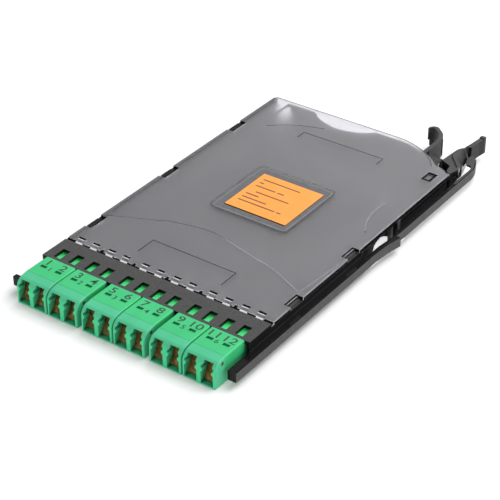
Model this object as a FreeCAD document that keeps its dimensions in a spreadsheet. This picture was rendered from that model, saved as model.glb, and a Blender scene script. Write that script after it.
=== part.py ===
import FreeCAD, Part

import math
import os

# Fibre splice cassette. Millimetres, +Z up, X along the adapter row, Y from the
# adapters' front face to the rear. Lengths are written from the adapters' front face;
# every finished piece is then moved forward by origin_y, so that the origin lies on
# the tray's underside in the middle of its length.

doc = FreeCAD.newDocument("splice_cassette")
V = FreeCAD.Vector

# ---------------------------------------------------------------- driving dimensions
sheet = doc.addObject("Spreadsheet::Sheet", "Sizes")
VALUES = {
    "origin_y": 83.0,
    # duplex adapters
    "adapter_wide": 12.6, "adapter_high": 9.4, "adapter_deep": 26.6,
    "gap_in_pair": 0.4, "gap_of_pairs": 1.77, "port_pitch": 6.25,
    "nose_straight": 5.4, "nose_back": 2.4, "nose_top": 9.0, "slope_back": 5.3,
    "port_wide": 4.65, "port_floor": 0.4, "port_shoulder": 7.1, "slot_wide": 3.5,
    "slot_top": 8.45, "bump_out": 0.55, "front_wall": 2.6, "cavity_wide": 4.9,
    "cavity_top": 8.5, "cavity_end": 11.5, "mid_end": 17.0, "bore_rad": 1.4,
    "bore_z": 3.9, "bay_front": 15.3, "rear_low": 1.3, "rear_top": 8.1,
    "rear_port_wide": 4.7, "rear_port_low": 1.5, "rear_port_top": 6.3,
    "latch_slot_wide": 3.2, "latch_slot_front": 22.4, "mark_long": 2.5, "mark_wide": 1.3, "mark_y": 9.5,
    "mark_deep": 0.65, "adapter_round": 0.5,
    # shutters
    "pivot_y": 3.9, "pivot_z": 7.5, "pin_rad": 0.62, "pin_hole_rad": 0.68, "pin_in": 0.55,
    "leaf_wide": 4.6, "leaf_thick": 0.4, "tab_wide": 3.2, "tab_up": 0.75,
    # sleeves and inside connectors
    "holder_rad": 1.35, "holder_bore": 0.85, "holder_front": 11.3, "holder_rear": 19.0,
    "flange_rad": 1.9, "flange_thick": 0.8,
    "sleeve_rad": 0.8, "sleeve_bore": 0.64, "sleeve_front": 11.5, "sleeve_long": 6.4,
    "sleeve_slit": 0.2, "ferrule_rad": 0.625, "ferrule_front": 14.6, "ferrule_long": 6.4,
    "plug_size": 4.5, "plug_front": 17.9, "plug_long": 18.2, "shroud_rad": 1.95,
    "shroud_deep": 3.1, "plug_latch_wide": 2.7, "boot_long": 9.0, "boot_rad": 1.9,
    "boot_tip": 0.9, "lead_rad": 0.45, "lead_end": 82.0, "lead_gap": 0.08,
    # tray
    "half_wide": 42.1, "wall_thick": 1.2, "floor_thick": 1.2, "wall_top": 8.2, "seat_gap": 0.1, "arm_skin": 0.8,
    "case_top": 9.4, "bezel_end": 27.0, "bay_half": 40.5,
    "window_wide": 3.0, "window_front": 16.6, "window_long": 5.3, "rib_wide": 1.2,
    "rail_out": 45.2, "rail_in": 42.0, "rail_low": 2.35, "rail_high": 3.45,
    "rail_front": 3.9, "relief_front": 5.6, "relief_end": 20.0, "relief_low": 3.65, "rail_root": 79.9, "left_rail_end": 149.0,
    "clip_long": 6.0, "clip_gap": 0.35,
    "guide_out": 18.6, "guide_in": 17.4, "guide_high": 5.3,
    "guide_x": 10.8, "guide_front": 78.0, "guide_rear": 100.0,
    "shelf_front": 26.75, "shelf_end": 31.2, "shelf_low": 7.5, "shelf_top": 8.15,
    "tongue_long": 2.2, "tongue_wide": 0.5, "tongue_top": 8.45, "flange_high": 6.1,
    "finger_low": 7.3, "finger_top": 8.1, "ledge_out": 41.3,
    "hook_low": 0.8, "hook_top": 8.5,
    # latch arm and release lever
    "arm_gap": 0.12, "catch_out": 46.8, "catch_y": 97.3,
    "lever_low": 2.35, "lever_plate_low": 6.0, "lever_top": 8.3, "paddle_top": 8.5, "tip_top": 8.9,
    "scoop_round": 2.0, "scoop_turn": 42.0,
    # cover and label
    "cover_front": 27.1, "cover_rear": 151.0, "cover_thick": 1.2, "corner_rad": 26.0,
    "corner_x": 13.0, "corner_y": 125.0, "tooth_gap": 3.4, "tooth_deep": 0.9, "step_wide": 1.4, "step_deep": 2.2,
    "slit_long": 3.0, "slit_wide": 1.05, "slit_y": 29.8,
    "recess_size": 32.0, "recess_deep": 0.25, "recess_front": 72.5, "recess_round": 2.0,
    "label_wide": 25.4, "label_long": 24.1, "label_x": 0.6, "label_front": 76.4,
    "label_thick": 0.12, "rim_line": 0.3, "rim_deep": 0.12, "cover_round": 0.3,
    # fibre store
    "coil_rad": 2.2, "coil_bend": 22.0, "coil_z": 4.2,
    "block_wide": 28.0, "block_long": 17.0, "block_high": 4.6, "block_front": 80.5,
    "groove_rad": 0.55, "groove_pitch": 1.3,
}
for row, (alias, value) in enumerate(VALUES.items(), start=1):
    sheet.set("A%d" % row, alias)
    sheet.set("B%d" % row, str(value))
    sheet.setAlias("B%d" % row, alias)
doc.recompute()


def size(alias):
    return float(sheet.get(alias))


def cells(text):
    """An expression over the sheet: every word that is an alias becomes a cell."""
    out, word = "", ""
    for ch in text + " ":
        if ch.isalnum() or ch == "_":
            word += ch
        else:
            out += ("Sizes." + word if word in VALUES else word) + ch
            word = ""
    return out.strip()


def bind(obj, **props):
    for prop, text in props.items():
        obj.setExpression(prop.replace("__", "."), cells(text))


def box(name, lx, ly, lz, x, y, z):
    obj = doc.addObject("Part::Box", name)
    bind(obj, Length=lx, Width=ly, Height=lz,
         Placement__Base__x=x, Placement__Base__y=y, Placement__Base__z=z)
    return obj


TURN = {
    "z": FreeCAD.Rotation(),
    "y": FreeCAD.Rotation(V(1, 0, 0), -90),
    "x": FreeCAD.Rotation(V(0, 1, 0), 90),
}


def rod(name, radius, length, x, y, z, along="y"):
    """A cylinder that starts at x, y, z and runs along +X, +Y or +Z."""
    obj = doc.addObject("Part::Cylinder", name)
    obj.Placement = FreeCAD.Placement(V(0, 0, 0), TURN[along])
    bind(obj, Radius=radius, Height=length,
         Placement__Base__x=x, Placement__Base__y=y, Placement__Base__z=z)
    return obj


def cone(name, r1, r2, length, x, y, z):
    obj = doc.addObject("Part::Cone", name)
    obj.Placement = FreeCAD.Placement(V(0, 0, 0), TURN["y"])
    bind(obj, Radius1=r1, Radius2=r2, Height=length,
         Placement__Base__x=x, Placement__Base__y=y, Placement__Base__z=z)
    return obj


def outline(sketch, points):
    """A closed loop; an entry (mid, end) with two points is an arc through mid."""
    start = points[0]
    for entry in points[1:] + [points[0]]:
        if isinstance(entry[0], tuple):
            mid, end = entry
            arc = Part.Arc(V(start[0], start[1], 0), V(mid[0], mid[1], 0), V(end[0], end[1], 0))
            sketch.addGeometry(arc)
            start = end
        else:
            if math.dist(start, entry) > 1e-6:
                sketch.addGeometry(Part.LineSegment(V(start[0], start[1], 0), V(entry[0], entry[1], 0)))
            start = entry


def prism(name, plane, points, start, length):
    """A body with one sketch padded from start by length along +X, +Y or +Z."""
    body = doc.addObject("PartDesign::Body", name)
    sketch = body.newObject("Sketcher::SketchObject", name + "_sketch")
    role = {"xy": "XY_Plane", "xz": "XZ_Plane", "yz": "YZ_Plane"}[plane]
    origin = [f for f in body.Origin.OriginFeatures if f.Role == role][0]
    sketch.AttachmentSupport = [(origin, "")]
    sketch.MapMode = "FlatFace"
    outline(sketch, points)
    bind(sketch, AttachmentOffset__Base__z=("-(%s)" % start if plane == "xz" else start))
    pad = body.newObject("PartDesign::Pad", name + "_pad")
    pad.Profile = sketch
    pad.Reversed = plane == "xz"
    bind(pad, Length=length)
    body.Tip = pad
    return body


def rounded(body, radius, choose):
    """Round the chosen edges of a body's tip."""
    doc.recompute()
    base = body.Tip
    names = ["Edge%d" % (i + 1) for i, e in enumerate(base.Shape.Edges) if choose(e)]
    fillet = body.newObject("PartDesign::Fillet", body.Name + "_round")
    fillet.Base = (base, names)
    bind(fillet, Radius=radius)
    body.Tip = fillet
    return body


def fuse(name, items):
    obj = doc.addObject("Part::MultiFuse", name)
    obj.Shapes = items
    obj.Refine = True
    return obj


def cut(name, base, tools):
    obj = doc.addObject("Part::Cut", name)
    obj.Base = base
    obj.Tool = tools[0] if len(tools) == 1 else fuse(name + "_tools", tools)
    obj.Refine = True
    return obj


def group(name, items):
    obj = doc.addObject("Part::Compound", name)
    obj.Links = items
    return obj


PARTS = []


def finished(obj, label):
    obj.Label = label
    bind(obj, Placement__Base__y="-origin_y")
    PARTS.append(obj)
    return obj


# ---------------------------------------------------------------- adapter row
pair_step = "(2*adapter_wide + gap_in_pair + gap_of_pairs)"
half_pair = "((adapter_wide + gap_in_pair)/2)"
adapter_x = ["(%d*%s + %d*%s)" % (p, pair_step, q, half_pair) for p in (-1, 0, 1) for q in (-1, 1)]
port_x = ["(%s + %d*port_pitch/2)" % (x, q) for x in adapter_x for q in (-1, 1)]

high = size("adapter_high")
ns, nb, nt, sb = (size(k) for k in ("nose_straight", "nose_back", "nose_top", "slope_back"))
nose_r = (nb ** 2 + (nt - ns) ** 2) / (2 * nb)
half_turn = 0.5 * math.atan2(nt - ns, nose_r - nb)
nose_mid = (nose_r - nose_r * math.cos(half_turn), ns + nose_r * math.sin(half_turn))
side_profile = [(0, 0), (0, ns), (nose_mid, (nb, nt)), (sb, high),
                (size("adapter_deep"), high), (size("adapter_deep"), 0)]

pw, bo = size("port_wide") / 2, size("bump_out")
sw = size("slot_wide") / 2
pf, ps, st = size("port_floor"), size("port_shoulder"), size("slot_top")


def port_outline(cx):
    right = [(pw, pf), (pw, 4.6), (pw - bo, 4.95), (pw - bo, 5.85), (pw, 6.2), (pw, ps - 0.25),
             (pw - 0.25, ps), (sw + 0.25, ps), (sw, ps + 0.25), (sw, st)]
    left = [(-x, z) for x, z in reversed(right)]
    return [(cx + x, z) for x, z in right + left]


def number(expression):
    """The value of an expression over the sheet."""
    text = expression
    for alias in sorted(VALUES, key=len, reverse=True):
        text = text.replace(alias, "(%r)" % size(alias))
    probe = doc.addObject("App::FeaturePython", "probe")
    probe.addProperty("App::PropertyFloat", "Value")
    probe.setExpression("Value", text)
    doc.recompute()
    value = probe.Value
    doc.removeObject(probe.Name)
    return value


port_at = [number(x) for x in port_x]
adapter_at = [number(x) for x in adapter_x]

# room for the leaf behind the port's rim, and the slope under a bezel window, both seen from the side
fw, ct, ce = size("front_wall"), size("cavity_top"), size("cavity_end")
cavity_plan = [(0.9, pf), (0.9, 1.2), (2.1, 4.2), (fw, 6.5), (fw, ct), (ce, ct), (ce, pf)]
rt = size("rear_top")
slope_plan = [(16.4, rt), (22.2, rt - 0.4), (22.2, rt + 1), (16.4, rt + 1)]

for i, cx in enumerate(adapter_x, start=1):
    n = "adapter_%d" % i
    half = size("adapter_wide") / 2
    shell = prism(n + "_shell", "yz", side_profile, "%s - adapter_wide/2" % cx, "adapter_wide")

    def outer_edge(e, at=adapter_at[i - 1]):
        c = e.CenterOfMass
        flank = abs(abs(c.x - at) - half) < 1e-4
        flat = e.BoundBox.XLength < 1e-4
        return flank and flat and c.z > 0.1 and c.y < size("adapter_deep") - 0.1

    rounded(shell, "adapter_round", outer_edge)
    tools = [
        box(n + "_top_step", "adapter_wide + 2", "20", "5", "%s - adapter_wide/2 - 1" % cx, "bay_front", "rear_top"),
        box(n + "_low_step", "adapter_wide + 2", "20", "5", "%s - adapter_wide/2 - 1" % cx, "bay_front", "rear_low - 5"),
        rod(n + "_pin_hole", "pin_hole_rad", "adapter_wide + 2", "%s - adapter_wide/2 - 1" % cx, "pivot_y", "pivot_z", "x"),
    ]
    for side in (0, 1):
        px, pn = port_x[2 * i - 2 + side], port_at[2 * i - 2 + side]
        m = "%s_%d" % (n, side)
        tools += [
            prism(m + "_mouth", "xz", port_outline(pn), "-1", "front_wall + 1.1"),
            prism(m + "_cavity", "yz", cavity_plan, "%s - cavity_wide/2" % px, "cavity_wide"),
            rod(m + "_bore", "bore_rad", "mid_end - cavity_end + 2", px, "cavity_end - 1", "bore_z"),
            box(m + "_rear", "rear_port_wide", "adapter_deep - mid_end + 1", "rear_port_top - rear_port_low",
                "%s - rear_port_wide/2" % px, "mid_end", "rear_port_low"),
            box(m + "_latch", "latch_slot_wide", "adapter_deep - latch_slot_front + 1.5", "5",
                "%s - latch_slot_wide/2" % px, "latch_slot_front", "rear_port_top - 0.1"),
            prism(m + "_slope", "yz", slope_plan, "%s - latch_slot_wide/2" % px, "latch_slot_wide"),
            box(m + "_mark", "mark_long", "mark_wide", "mark_deep + 1",
                "%s - mark_long/2" % px, "mark_y", "adapter_high - mark_deep"),
        ]
    finished(cut(n, shell, tools), n)

# bronze leaf shutters: a bent T-shaped leaf on two stub pins, its lower end standing forward
py, pz = size("pivot_y"), size("pivot_z")


def strip(path, thick):
    """A band of even thickness along a path of points."""
    sides = ([], [])
    for i, (y, z) in enumerate(path):
        turns = []
        for a, b in ((i - 1, i), (i, i + 1)):
            if a >= 0 and b < len(path):
                dy, dz = path[b][0] - path[a][0], path[b][1] - path[a][1]
                turns.append((-dz / math.hypot(dy, dz), dy / math.hypot(dy, dz)))
        ny, nz = sum(t[0] for t in turns) / len(turns), sum(t[1] for t in turns) / len(turns)
        k = thick / 2 / (ny * ny + nz * nz)
        sides[0].append((y + k * ny, z + k * nz))
        sides[1].append((y - k * ny, z - k * nz))
    return sides[0] + sides[1][::-1]


blade_plan = strip([(py, pz), (3.85, 5.6), (3.05, 3.5), (1.69, 1.0)], size("leaf_thick"))
tab_plan = strip([(py, pz - 0.2), (py, pz + size("tab_up"))], size("leaf_thick"))
for i, px in enumerate(port_x, start=1):
    n = "shutter_%d" % i
    blade = prism(n + "_blade", "yz", blade_plan, "%s - leaf_wide/2" % px, "leaf_wide")
    tab = prism(n + "_tab", "yz", tab_plan, "%s - tab_wide/2" % px, "tab_wide")
    outer = -1 if i % 2 else 1        # the side where the port's wall is the housing's flank
    pin = rod(n + "_pin", "pin_rad", "cavity_wide + pin_in + 0.68",
              "%s - cavity_wide/2 - %s" % (px, "0.68" if outer < 0 else "pin_in"), "pivot_y", "pivot_z", "x")
    finished(fuse(n, [blade, tab, pin]), n)

# sleeve holders, sleeves and the inside connectors, one of each behind every port
holders, sleeves, ferrules, plugs, boots, leads = [], [], [], [], [], []
for i, px in enumerate(port_x, start=1):
    n = "port_%d" % i
    tube = fuse(n + "_holder_body", [
        rod(n + "_tube", "holder_rad", "holder_rear - holder_front", px, "holder_front", "bore_z"),
        rod(n + "_flange", "flange_rad", "flange_thick", px, "mid_end", "bore_z")])
    holders.append(cut(n + "_holder", tube, [
        rod(n + "_holder_hole", "holder_bore", "holder_rear - holder_front + 2", px, "holder_front - 1", "bore_z")]))
    sleeves.append(cut(n + "_sleeve", rod(n + "_sleeve_body", "sleeve_rad", "sleeve_long", px, "sleeve_front", "bore_z"), [
        rod(n + "_sleeve_hole", "sleeve_bore", "sleeve_long + 2", px, "sleeve_front - 1", "bore_z"),
        box(n + "_slit", "sleeve_slit", "sleeve_long + 2", "2", "%s - sleeve_slit/2" % px, "sleeve_front - 1", "bore_z")]))
    ferrules.append(rod(n + "_ferrule", "ferrule_rad", "ferrule_long", px, "ferrule_front", "bore_z"))
    z0 = size("bore_z") - size("plug_size") / 2
    z1 = z0 + size("plug_size")
    latch = [(22.8, z1 - 0.3), (22.8, z1 + 0.3), (25.5, z1 + 1.2), (28.2, z1 + 1.2),
             (28.2, z1 + 0.7), (25.6, z1 + 0.6), (24.6, z1 + 0.1), (24.6, z1 - 0.3)]
    plug = fuse(n + "_plug_body", [
        box(n + "_plug_block", "plug_size", "plug_long - 6", "plug_size", "%s - plug_size/2" % px, "plug_front", "bore_z - plug_size/2"),
        rod(n + "_plug_rear", "plug_size/2 - 0.1", "6.5", px, "plug_front + plug_long - 6.5", "bore_z"),
        prism(n + "_plug_latch", "yz", latch, "%s - plug_latch_wide/2" % px, "plug_latch_wide")])
    plugs.append(cut(n + "_plug", plug, [
        rod(n + "_shroud", "shroud_rad", "shroud_deep + 1", px, "plug_front - 1", "bore_z")]))
    boots.append(cone(n + "_boot", "boot_rad", "boot_tip", "boot_long", px, "plug_front + plug_long", "bore_z"))
    # each lead runs straight back until it meets the coil's outside
    reach = size("coil_bend") + size("coil_rad") + size("lead_gap")
    aside = max(0.0, abs(port_at[i - 1]) - size("lead_rad") - size("guide_x"))
    end = size("guide_front") - math.sqrt(reach ** 2 - aside ** 2) if aside < reach else size("lead_end")
    leads.append(rod(n + "_lead", "lead_rad", "%.3f - plug_front - plug_long - boot_long" % end, px,
                     "plug_front + plug_long + boot_long", "bore_z"))
finished(group("sleeve_holders", holders), "sleeve_holders")
finished(group("alignment_sleeves", sleeves), "alignment_sleeves")
finished(group("connector_ferrules", ferrules), "connector_ferrules")
finished(group("connector_housings", plugs), "connector_housings")
finished(group("connector_boots", boots), "connector_boots")
finished(group("pigtail_leads", leads), "pigtail_leads")

# ---------------------------------------------------------------- base tray
hw, bf, root = size("half_wide"), size("bay_front"), size("rail_root")
w = size("wall_thick")
channel = 40.6                  # tray wall behind the latch arm
cxr, cyr = size("corner_x"), size("corner_y")


def corner(radius, degrees):
    """A point on an arc about the centre of the cover's round rear corner."""
    return (cxr + radius * math.sin(math.radians(degrees)), cyr + radius * math.cos(math.radians(degrees)))


right_side = [(hw, bf), (hw, root), (channel, root), (channel, 86.0), ((39.35, 91.3), (37.75, 95.1)),
              ((36.98, 98.2), (36.84, 99.9)), ((37.15, 102.2), (38.6, 102.9)), (42.3, 102.5), (42.3, 104.4),
              (channel, 104.4), (channel, 139.7), (39.0, 139.7)]
rear = [(34.2, 139.9), (corner(25.25, 27), (13.0, 149.9)), (4.4, 149.9),
        ((-9.6, 144.0), (-23.0, 149.9)), (-33.1, 149.9), (-33.1, 148.0), (-hw + w, 148.0), (-hw + w, 150.6), (-hw, 150.6)]
tray_plan = [(-hw, bf)] + right_side + rear
tray_block = prism("tray_block", "xy", tray_plan, "0", "wall_top")
hollow_plan = [(-hw + w, bf - 1), (hw - w, bf - 1), (hw - w, root - 1.0), (channel - w, root + 0.6),
               (channel - w, 85.6), ((38.1, 90.8), (36.5, 94.7)), ((35.76, 97.9), (35.64, 99.9)),
               ((36.05, 103.0), (37.4, 104.1)), (channel - w, 105.6), (channel - w, 138.4), (34.0, 138.5),
               (corner(24.0, 28), (13.0, 148.6)), (6.0, 148.5), ((-9.6, 142.6), (-22.6, 148.0)), (-33.1, 148.0),
               (-33.1, 153.0), (-hw + w, 153.0)]
hollow = prism("tray_hollow", "xy", hollow_plan, "floor_thick", "20")
# behind the bezel the walls stop a little short of the cover, which hangs on its clips
seat = box("cover_seat", "2*half_wide + 2", "cover_rear - bezel_end + 2", "1", "-half_wide - 1", "bezel_end", "wall_top - seat_gap")
tray_shell = cut("tray_shell", tray_block, [hollow, seat])

# low flange that joins the rear corner to the hook and runs in under the lever's plate
flange_plan = [(38.9, 138.9), (38.9, 140.2), (37.5, 144.1), (33.2, 145.2), (32.7, 146.8), (32.5, 150.0), (30.8, 150.8),
               (27.0, 151.0), (20.4, 150.6), corner(24.9, 17), (corner(24.9, 35), corner(24.9, 53)), (34.5, 139.0)]
flange = prism("rear_flange", "xy", flange_plan, "0", "flange_high")
# finger over the cable entry, held by the end of the rear wall
finger = prism("entry_finger", "xy", [(-35.3, 136.2), (-34.9, 136.0), (-34.8, 148.4), (-32.9, 148.4), (-32.9, 149.7),
                                      (-35.3, 149.7)], "finger_low", "finger_top - finger_low")
ledge = box("side_ledge", "ledge_out - 40.4", "33.5", "0.8", "40.4", "105", "3.6")
# roof over the catch's recess, the rim that carries the cover's right edge, and the floor under the lever
roof = box("recess_roof", "half_wide - 0.1 - 35.9", "105 - rail_root", "1", "35.9", "rail_root", "wall_top - seat_gap - 1")
rim = box("side_rim", "half_wide - 0.1 - 40.4", "138.2 - 104.4", "1", "40.4", "104.4", "wall_top - seat_gap - 1")
lever_floor = prism("lever_floor", "xy", [(26.5, 150.0), (33.0, 145.0), (34.0, 139.0), (41.4, 139.0), (41.3, 146.0), (38.0, 149.0),
                                          (34.6, 149.5), (32.4, 151.0), (29.0, 156.6), (26.5, 156.4)], "0", "1.6")
shelf = [box("cover_shelf", "2*half_wide - 1.8", "shelf_end - shelf_front", "shelf_top - shelf_low",
             "-half_wide + 0.9", "shelf_front", "shelf_low"),
         box("cover_shelf_root", "2*half_wide - 1.8", "bezel_end - shelf_front", "0.8",
             "-half_wide + 0.9", "shelf_front", "shelf_low")]
shelf += [box("tongue_%d" % i, "tongue_long", "tongue_wide", "tongue_top - shelf_low",
              "%s - 0.5 - tongue_long/2" % px, "slit_y + (slit_wide - tongue_wide)/2", "shelf_low")
          for i, px in enumerate(port_x, start=1)]

bezel = box("bezel_plate", "2*half_wide", "bezel_end - bay_front", "case_top - wall_top",
            "-half_wide", "bay_front", "wall_top")
windows = [box("window_%d" % i, "window_wide", "window_long", "5", "%s - window_wide/2" % px, "window_front", "wall_top - 1")
           for i, px in enumerate(port_x, start=1)]
bezel_cut = cut("bezel", bezel, windows)
ribs = [box("bay_rib_%d" % i, "rib_wide", "bezel_end - bay_front - 0.4", "wall_top - floor_thick + 0.4",
            "%d*(%s/2) - rib_wide/2" % (q, pair_step), "bay_front + 0.2", "floor_thick - 0.2")
        for i, q in ((1, -1), (2, 1))]
left_bar = box("left_rail_bar", "rail_out - rail_in", "left_rail_end - rail_front", "rail_high",
               "-rail_out", "rail_front", "rail_low")
left_rail = cut("left_rail", left_bar, [box("left_rail_relief", "4", "relief_end - relief_front", "5",
                                            "-half_wide - 4", "relief_front", "relief_low"),
                                        box("left_rail_relief_in", "1", "bay_front - 0.2 - relief_front", "5",
                                            "-half_wide - 0.5", "relief_front", "relief_low")])
right_rail = box("right_rail", "rail_out - rail_in", "rail_root - rail_front", "rail_high",
                 "rail_in", "rail_front", "rail_low")

# cover clips: ramped heads that stand in the cover's notches
clips = []
top = size("case_top")
for i, (side, y0) in enumerate(((-1, 37.3), (-1, 77.9), (-1, 119.2), (1, 38.2), (1, 71.6)), start=1):
    if side < 0:
        head = [(-hw + 0.1, 6.6), (-hw + 0.1, top - 0.7), (-41.4, top - 0.05), (-40.0, top - 0.05), (-40.0, 6.6)]
    else:
        head = [(39.9, 6.6), (39.9, top - 0.2), (40.4, top - 0.2), (40.5, top - 0.75), (40.9, top - 0.75),
                (hw - 0.1, 7.2), (hw - 0.1, 6.6)]
    clips.append(prism("clip_%d" % i, "xz", head, "%g" % y0, "clip_long"))
clip_post = box("clip_6", "2.6", "3.6", "case_top - 0.5 - floor_thick + 0.2", "36.0", "130.6", "floor_thick - 0.2")

# finger hook: an upright wall that curls towards the left at its free end
hook_plan = [(25.4, 148.0), (27.0, 148.0), (27.0, 157.6), ((25.9, 162.5), (22.4, 166.2)), ((20.9, 167.3), (19.6, 167.1)),
             ((18.7, 166.3), (18.3, 164.5)), (18.8, 164.3), ((19.2, 165.6), (20.2, 166.0)), (21.4, 165.2),
             ((24.5, 161.6), (25.4, 157.2))]
hook_wall = prism("hook_wall", "xy", hook_plan, "hook_low", "hook_top - hook_low")
hook = cut("finger_hook", hook_wall, [prism("hook_tip_end", "xy", [(17.0, 163.0), (19.7, 163.0), (19.7, 165.1), (17.0, 166.2)],
                                            "-1", "4.6")])
hook_lip = prism("hook_lip", "xy", [(26.2, 160.8), (26.95, 160.2), (27.05, 160.6), (25.7, 162.1)],
                 "hook_low + 0.6", "hook_top - hook_low - 0.9")

guides = []
for i, (sx, gy, turn) in enumerate(((1, "guide_rear", 0), (-1, "guide_rear", 90), (-1, "guide_front", 180), (1, "guide_front", 270)), start=1):
    ring = []
    for kind in ("out", "in"):
        pie = doc.addObject("Part::Cylinder", "guide_%d_%s" % (i, kind))
        pie.Placement = FreeCAD.Placement(V(0, 0, 0), FreeCAD.Rotation(V(0, 0, 1), turn))
        if kind == "out":
            pie.Angle = 90
            bind(pie, Radius="guide_out", Height="guide_high + 0.2", Placement__Base__x="%d*guide_x" % sx,
                 Placement__Base__y=gy, Placement__Base__z="floor_thick - 0.2")
        else:
            bind(pie, Radius="guide_in", Height="guide_high + 2", Placement__Base__x="%d*guide_x" % sx,
                 Placement__Base__y=gy, Placement__Base__z="floor_thick - 1")
        ring.append(pie)
    guides.append(cut("guide_%d" % i, ring[0], [ring[1]]))

finished(fuse("base_tray", [tray_shell, bezel_cut, left_rail, right_rail, clip_post, hook, hook_lip, flange, finger, ledge,
                           roof, rim, lever_floor]
              + shelf + ribs + clips + guides), "base_tray")

# ---------------------------------------------------------------- latch arm and release lever
ro, gap = size("rail_out"), size("arm_gap")
co, cy = size("catch_out"), size("catch_y")
arm_plan = [(43.5, root + gap), (ro, root + gap), (ro, 84.0), (ro + 0.55, 91.0), (co, cy - 0.5), (co, cy), (ro, cy),
            (ro, 149.0), ((44.75, 153.0), (43.4, 156.5)), ((41.9, 158.6), (39.5, 160.2)), (39.4, 157.6), (39.85, 155.4),
            (41.4, 153.1), ((43.2, 152.6), (43.85, 151.0)), (43.95, 147.0), (43.75, 142.0), (43.7, 99.5), (44.3, cy), (44.12, 93.5),
            (43.8, 90.8), (43.5, 88.0)]
arm_blank = prism("arm_blank", "xy", arm_plan, "rail_low", "rail_high")
# its rear end is a thin shell: a top skin and the outer wall
arm_hollow = prism("arm_hollow", "xy", [(38.5, 153.0), (41.0, 152.0), (43.0, 151.0), (44.1, 151.2), (43.75, 152.9), (42.5, 155.9),
                                        (41.2, 157.7), (39.0, 159.2), (38.5, 159.2)], "rail_low - 1", "rail_high - arm_skin + 1")
finished(cut("latch_arm", arm_blank, [arm_hollow]), "latch_arm")

wall_plan = [(39.4, 141.0), (41.0, 141.0), (41.0, 149.6), (39.0, 157.4), (39.0, 161.4), (36.95, 161.4), (36.5, 159.4),
             ((35.6, 158.2), (35.0, 156.4)), (34.9, 155.0), (34.3, 147.0), (38.6, 145.1)]
lever_wall = prism("lever_wall", "xy", wall_plan, "lever_low", "lever_top - lever_low")
plate_plan = [(40.15, 140.2), (41.4, 140.0), (42.44, 144.44), (41.0, 149.6), (37.6, 151.0), (34.6, 150.2), (34.3, 147.0), (39.8, 144.4)]
lever_plate = prism("lever_plate", "xy", plate_plan, "lever_plate_low", "lever_top - lever_plate_low")
paddle_plan = [(36.75, 160.0), (38.9, 160.9), (39.3, 166.0), (39.7, 168.6), (39.7, 170.0), (37.95, 170.0), (37.8, 168.6), (37.2, 163.0)]
paddle = prism("lever_paddle", "xy", paddle_plan, "lever_low", "paddle_top - lever_low")
tip = prism("lever_tip", "xy", [(37.75, 168.8), (39.8, 168.8), (39.8, 170.4), (37.9, 170.4)], "lever_low", "tip_top - lever_low")
ridge_plan = [(34.62, 151.0), (34.9, 155.0), (35.0, 156.4), (35.6, 158.2), (36.5, 159.4), (36.95, 160.8), (37.9, 160.8), (37.4, 159.2),
              (36.5, 157.6), (36.0, 156.2), (35.7, 155.0), (35.5, 151.0)]
ridge = prism("lever_ridge", "xy", ridge_plan, "lever_low", "lever_top - lever_low")
# the thumb hollow: a slope with a rounded brow that falls away across the lever
lt, sr = size("lever_top"), size("scoop_round")
h = math.sqrt(0.5)
brow = (sr * math.sin(math.pi / 8), lt - sr * (1 - math.cos(math.pi / 8)))
scoop = prism("lever_scoop", "xz", [(0.0, lt), (brow, (sr * h, lt - sr * (1 - h))), (4.4, 4.75), (9.0, 3.9), (16.0, 3.9), (16.0, 11.0), (0.0, 11.0)],
              "-6", "27")
scoop.Placement = FreeCAD.Placement(V(42.0, 144.6, 0), FreeCAD.Rotation(V(0, 0, 1), size("scoop_turn")))
lever_core = cut("lever_core", fuse("lever_blank", [lever_wall, lever_plate]), [scoop])
finished(fuse("release_lever", [lever_core, ridge, paddle, tip]), "release_lever")

# ---------------------------------------------------------------- cover and label
cf, cr = size("cover_front"), size("cover_rear")
cover_plan = [(-hw, cf), (hw, cf), (hw + 0.1, 138.3), (40.4, 138.5), (34.9, 141.0),
              (corner(size("corner_rad"), 31), (cxr, cr)), (-hw, cr)]
cover_plate = prism("cover_plate", "xy", cover_plan, "wall_top", "cover_thick")
rounded(cover_plate, "cover_round",
        lambda e: e.BoundBox.ZMin > size("case_top") - 1e-4 and e.CenterOfMass.y > cf + 0.5)
tools = []
tg = size("tooth_gap")
for i in range(13):
    if i == 0:
        x0, x1 = -hw - 1, port_at[0] - (size("port_pitch") - tg) / 2
    elif i == 12:
        x0, x1 = port_at[11] + (size("port_pitch") - tg) / 2, hw + 1
    else:
        x0, x1 = port_at[i - 1] + (size("port_pitch") - tg) / 2, port_at[i] - (size("port_pitch") - tg) / 2
    if i in (0, 12):
        continue
    tools.append(box("cover_gap_%d" % i, "%g" % (x1 - x0), "tooth_deep + 1", "5", "%g" % x0, "cover_front - 1", "wall_top - 1"))
    if i % 2 == 0:
        tools.append(box("cover_step_%d" % i, "step_wide", "step_deep + 1", "5", "%g - step_wide/2" % ((x0 + x1) / 2),
                         "cover_front - 1", "wall_top - 1"))
bevel = prism("cover_bevel", "yz", [(cf - 1, top + 1), (cf - 1, top - 0.9), (cf, top - 0.9), (cf + 1.3, top + 0.001), (cf + 1.3, top + 1)],
              "-half_wide - 1", "2*half_wide + 2")
tools.append(bevel)
for i, px in enumerate(port_x, start=1):
    tools.append(box("cover_slit_%d" % i, "slit_long", "slit_wide", "5", "%s - slit_long/2 - 0.5" % px, "slit_y", "wall_top - 1"))
for i, (side, y0) in enumerate(((-1, 36.95), (-1, 77.55), (-1, 118.85), (1, 37.7), (1, 71.1)), start=1):
    long = "8.4" if side < 0 else "7.0"
    if side < 0:
        tools.append(box("cover_notch_%d" % i, "half_wide - 39.3 + 1", long, "5", "-half_wide - 1", "%g" % y0, "wall_top - 1"))
    else:
        tools.append(box("cover_notch_%d" % i, "half_wide - 39.3 + 2", long, "5", "39.3", "%g" % y0, "wall_top - 1"))
tools.append(box("cover_hole", "3.9", "6.1", "5", "35.4", "129.4", "wall_top - 1"))
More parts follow.
